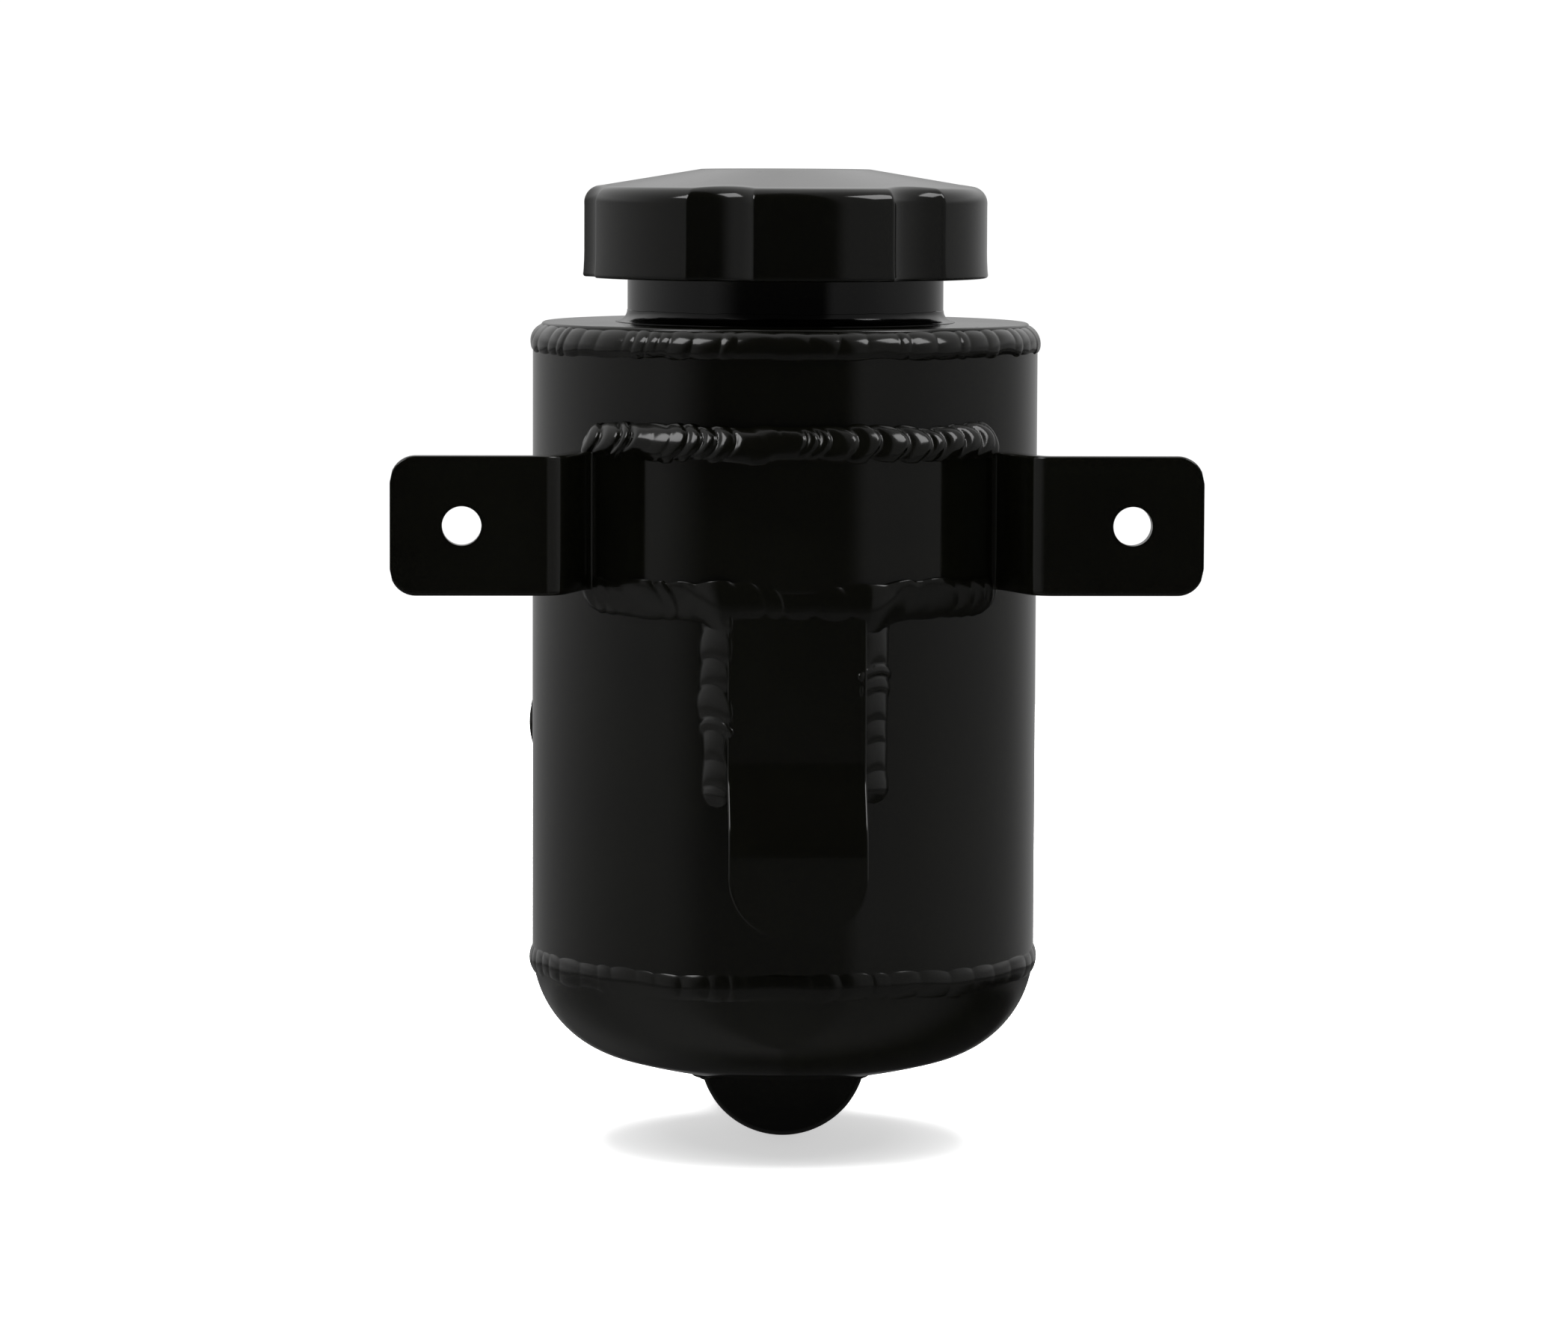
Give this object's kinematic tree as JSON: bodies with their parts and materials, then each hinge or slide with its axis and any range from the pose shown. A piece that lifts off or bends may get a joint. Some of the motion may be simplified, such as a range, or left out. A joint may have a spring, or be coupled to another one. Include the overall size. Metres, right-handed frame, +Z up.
{
  "type": "hydraulic reservoir",
  "caption": "Wall-hung welded oil reservoir with a lobed screw cap, a bolt-on hat strap, a hook tab, a side return port and a bottom feed port.",
  "frame": {"origin": "middle of the two bolt holes, on the wall side of the strap's ears", "axes": "-Y points into the wall that the ears bolt to, +Z runs up the tank's axis, +X to the right as seen from the wall"},
  "size_m": [0.148, 0.1096, 0.1834],
  "materials": {
    "powder_coat": "gloss black powder coat",
    "weld_coat": "gloss black powder coat over weld beads",
    "bare_aluminium": "bare, turned",
    "cap_black": "gloss black, moulded",
    "insert_black": "satin black",
    "seal_rubber": "matt",
    "zinc_steel": "bright zinc plate"
  },
  "bodies": {
    "tank": {"body_tube": "powder_coat", "top_plate": "powder_coat", "bottom_dome": "powder_coat", "top_seam_weld": "weld_coat", "bottom_seam_weld": "weld_coat", "filler_neck": "powder_coat", "neck_weld": "weld_coat", "bracket_strap": "powder_coat", "strap_weld_upper": "weld_coat", "strap_weld_lower": "weld_coat", "hook_tab": "powder_coat", "tab_weld_left": "weld_coat", "tab_weld_right": "weld_coat", "inlet_boss": "powder_coat", "inlet_boss_weld": "weld_coat", "return_tube": "bare_aluminium", "outlet_boss": "powder_coat", "outlet_boss_weld": "weld_coat", "baffle_plate": "bare_aluminium", "baffle_tacks": "bare_aluminium"},
    "seal_pack": {"cap_gasket": "seal_rubber", "swivel_disc": "zinc_steel"},
    "cap": {"cap_shell": "cap_black", "cap_insert": "insert_black", "cap_rivet": "zinc_steel"}
  },
  "joints": [
    {"name": "cap_lift", "type": "slide", "parent": "tank", "child": "seal_pack", "axis": [0, 0, 1], "range_m": [0, 0.048]},
    {"name": "cap_twist", "type": "hinge", "parent": "seal_pack", "child": "cap", "pos_m": [0, 0.0515, 0.05], "axis": [0, 0, 1], "range_deg": [0, 1440]}
  ],
  "couplings": [
    {"joint": "cap_twist", "follows": "cap_lift", "rad_per_m": 523.6}
  ]
}
